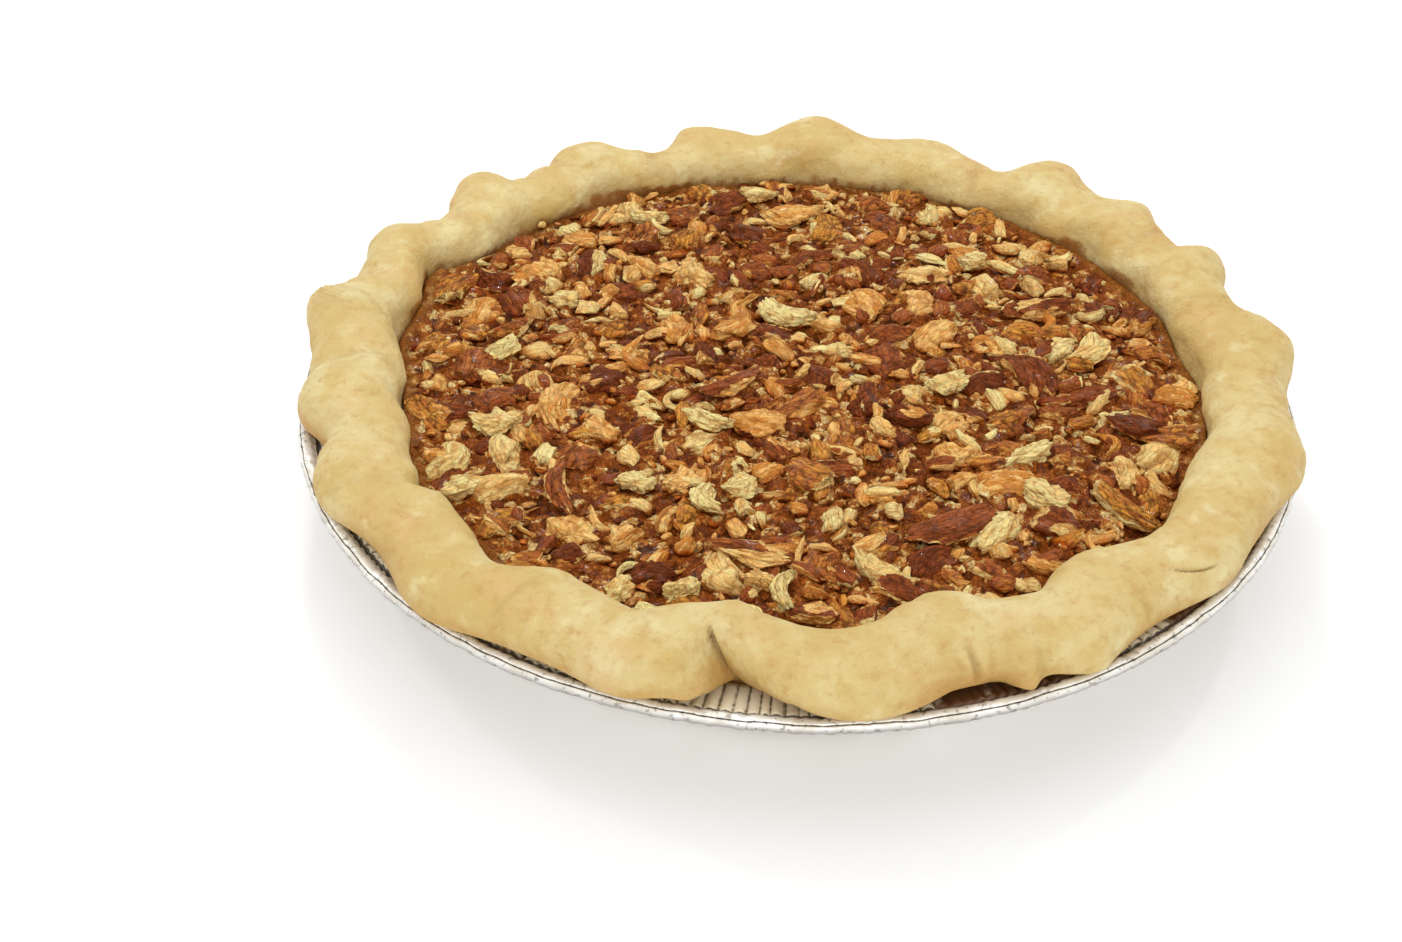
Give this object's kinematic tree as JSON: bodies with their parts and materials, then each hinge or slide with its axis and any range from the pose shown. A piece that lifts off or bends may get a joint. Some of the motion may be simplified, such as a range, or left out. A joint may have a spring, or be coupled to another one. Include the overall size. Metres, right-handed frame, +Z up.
{
  "type": "pecan pie",
  "caption": "Whole pecan pie in its pleated foil tin, with a thick hand-crimped pastry edge and a glossy filling covered in chopped pecans.",
  "frame": {"origin": "centre of the tin's flat underside, on the table", "axes": "+Z up through the middle of the pie, -Y towards the side with the deepest pinch in the crimped edge, +X to the right seen from that side"},
  "size_m": [0.2463, 0.2467, 0.0434],
  "materials": {
    "foil": "bright pressed foil, pleated and slightly crinkled",
    "pastry": "pale golden baked pastry, matte",
    "pecans": "chopped pecans in a glossy brown syrup filling"
  },
  "bodies": {
    "root": {"foil_tin": "foil", "crust": "pastry", "pecan_filling": "pecans"}
  },
  "joints": []
}
